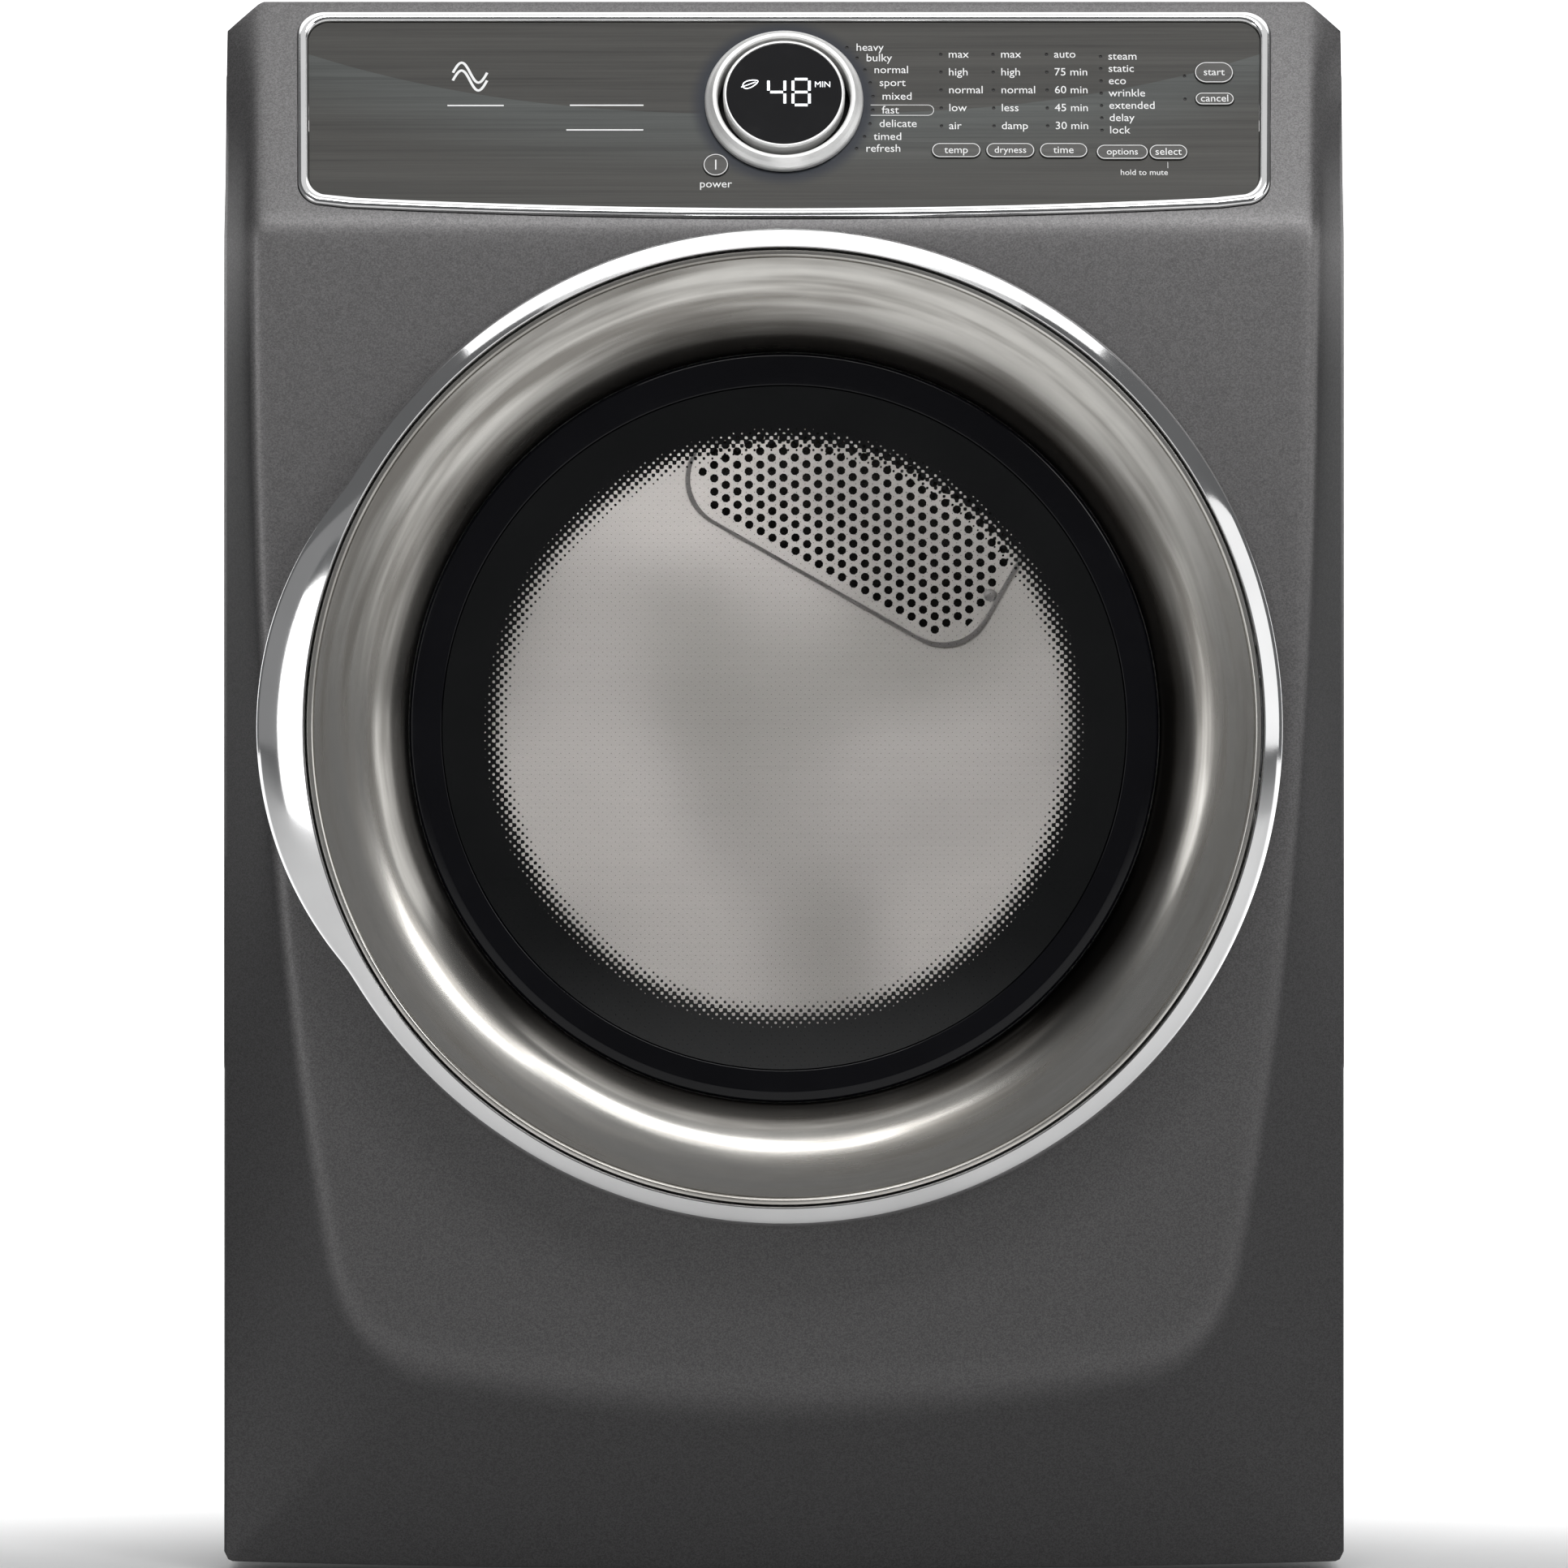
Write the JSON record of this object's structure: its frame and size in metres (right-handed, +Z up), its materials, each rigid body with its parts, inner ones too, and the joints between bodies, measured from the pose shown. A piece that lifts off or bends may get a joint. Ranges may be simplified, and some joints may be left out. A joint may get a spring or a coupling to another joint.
{
  "type": "clothes dryer",
  "caption": "Full-size front-loading clothes dryer with a round glass door, sloped console with dial and keys, drum, belt drive, lint screen and rear exhaust.",
  "frame": {"origin": "middle of the footprint, on the floor under the feet", "axes": "+Z up, +X to the right seen from the front, the door faces -Y"},
  "size_m": [0.686, 0.8, 0.965],
  "materials": {
    "paint": "satin titanium paint with a fine metallic grain",
    "paint_side": "satin dark grey paint",
    "chrome": "polished chrome plate",
    "smoked_chrome": "satin smoked chrome",
    "satin_silver": "satin silver",
    "fascia": "dark brushed finish under clear lacquer",
    "black_gloss": "gloss black",
    "black_plastic": "fine matt texture",
    "pale_plastic": "fine matt texture",
    "glass": "clear tempered glass",
    "stainless": "brushed stainless steel",
    "plated_steel": "plated steel",
    "zinc_sheet": "galvanised sheet with a spangle",
    "rubber": "matt black rubber"
  },
  "bodies": {
    "cabinet": {"front_panel": "paint", "side_panel_left": "paint_side", "side_panel_right": "paint_side", "top_panel": "paint_side", "console_trim": "chrome", "display_turret": "satin_silver", "console_fascia": "fascia", "display_lens": "black_gloss", "console_housing": "black_plastic", "door_latch": "black_plastic", "front_bulkhead": "pale_plastic", "throat_ring": "pale_plastic", "lint_duct": "pale_plastic", "blower_housing": "pale_plastic", "rear_bulkhead": "stainless", "air_grille": "stainless", "hinge_bracket": "plated_steel", "roller_shaft_left": "plated_steel", "roller_shaft_right": "plated_steel", "base_pan": "zinc_sheet", "rear_panel": "zinc_sheet", "terminal_cover": "zinc_sheet", "motor_body": "zinc_sheet", "motor_cradle": "zinc_sheet", "idler_arm": "zinc_sheet", "heater_housing": "zinc_sheet", "exhaust_duct": "zinc_sheet", "foot_front_left": "rubber", "foot_front_right": "rubber", "foot_rear_left": "rubber", "foot_rear_right": "rubber", "door_gasket": "rubber", "drive_belt": "rubber"},
    "door": {"door_ring": "chrome", "door_dish": "smoked_chrome", "window_bezel": "black_gloss", "window_glass": "glass", "door_liner": "pale_plastic", "window_bowl": "glass", "door_strike": "plated_steel", "hinge_leaf": "plated_steel"},
    "drum": {"drum": "stainless", "drum_lifter_1": "pale_plastic", "drum_lifter_2": "pale_plastic", "drum_lifter_3": "pale_plastic"},
    "rotor": {"motor_rotor": "plated_steel", "blower_wheel": "pale_plastic"},
    "idler": {"idler_pulley": "pale_plastic"},
    "roller_left": {"drum_roller_left": "rubber"},
    "roller_right": {"drum_roller_right": "rubber"},
    "dial": {"dial_ring": "satin_silver"},
    "lint_screen": {"lint_screen": "black_plastic"},
    "power_key": {"power_key": "fascia"},
    "temp_key": {"temp_key": "fascia"},
    "dryness_key": {"dryness_key": "fascia"},
    "time_key": {"time_key": "fascia"},
    "options_key": {"options_key": "fascia"},
    "select_key": {"select_key": "fascia"},
    "start_key": {"start_key": "fascia"},
    "cancel_key": {"cancel_key": "fascia"}
  },
  "joints": [
    {"name": "door_hinge", "type": "hinge", "parent": "cabinet", "child": "door", "pos_m": [0.286, -0.366, 0.517], "axis": [0, 0, 1], "range_deg": [0, 100]},
    {"name": "drum_spin", "type": "hinge", "parent": "cabinet", "child": "drum", "pos_m": [0, 0, 0.517], "axis": [0, 1, 0], "continuous": true},
    {"name": "rotor_spin", "type": "hinge", "parent": "cabinet", "child": "rotor", "pos_m": [0.12, -0.224, 0.118], "axis": [0, 1, 0], "continuous": true},
    {"name": "idler_spin", "type": "hinge", "parent": "cabinet", "child": "idler", "pos_m": [-0.1338, 0.027, 0.2044], "axis": [0, 1, 0], "continuous": true},
    {"name": "roller_spin_left", "type": "hinge", "parent": "cabinet", "child": "roller_left", "pos_m": [-0.21951, 0.3, 0.2554], "axis": [0, 1, 0], "continuous": true},
    {"name": "roller_spin_right", "type": "hinge", "parent": "cabinet", "child": "roller_right", "pos_m": [0.21951, 0.3, 0.2554], "axis": [0, 1, 0], "continuous": true},
    {"name": "dial_turn", "type": "hinge", "parent": "cabinet", "child": "dial", "pos_m": [0, -0.30927, 0.9], "axis": [0, -0.9135, 0.4067], "continuous": true},
    {"name": "lint_screen_slide", "type": "slide", "parent": "cabinet", "child": "lint_screen", "axis": [0, 0, 1], "range_m": [0, 0.025]},
    {"name": "power_key_press", "type": "slide", "parent": "cabinet", "child": "power_key", "axis": [0, 0.9135, -0.4067], "range_m": [0, 0.001], "stiffness_N_per_m": 300},
    {"name": "temp_key_press", "type": "slide", "parent": "cabinet", "child": "temp_key", "axis": [0, 0.9135, -0.4067], "range_m": [0, 0.001], "stiffness_N_per_m": 300},
    {"name": "dryness_key_press", "type": "slide", "parent": "cabinet", "child": "dryness_key", "axis": [0, 0.9135, -0.4067], "range_m": [0, 0.001], "stiffness_N_per_m": 300},
    {"name": "time_key_press", "type": "slide", "parent": "cabinet", "child": "time_key", "axis": [0, 0.9135, -0.4067], "range_m": [0, 0.001], "stiffness_N_per_m": 300},
    {"name": "options_key_press", "type": "slide", "parent": "cabinet", "child": "options_key", "axis": [0, 0.9135, -0.4067], "range_m": [0, 0.001], "stiffness_N_per_m": 300},
    {"name": "select_key_press", "type": "slide", "parent": "cabinet", "child": "select_key", "axis": [0, 0.9135, -0.4067], "range_m": [0, 0.001], "stiffness_N_per_m": 300},
    {"name": "start_key_press", "type": "slide", "parent": "cabinet", "child": "start_key", "axis": [0, 0.9135, -0.4067], "range_m": [0, 0.001], "stiffness_N_per_m": 300},
    {"name": "cancel_key_press", "type": "slide", "parent": "cabinet", "child": "cancel_key", "axis": [0, 0.9135, -0.4067], "range_m": [0, 0.001], "stiffness_N_per_m": 300}
  ],
  "couplings": [
    {"joint": "rotor_spin", "follows": "drum_spin", "ratio": 19.625},
    {"joint": "idler_spin", "follows": "drum_spin", "ratio": -15.7},
    {"joint": "roller_spin_left", "follows": "drum_spin", "ratio": -11.63},
    {"joint": "roller_spin_right", "follows": "drum_spin", "ratio": -11.63}
  ]
}
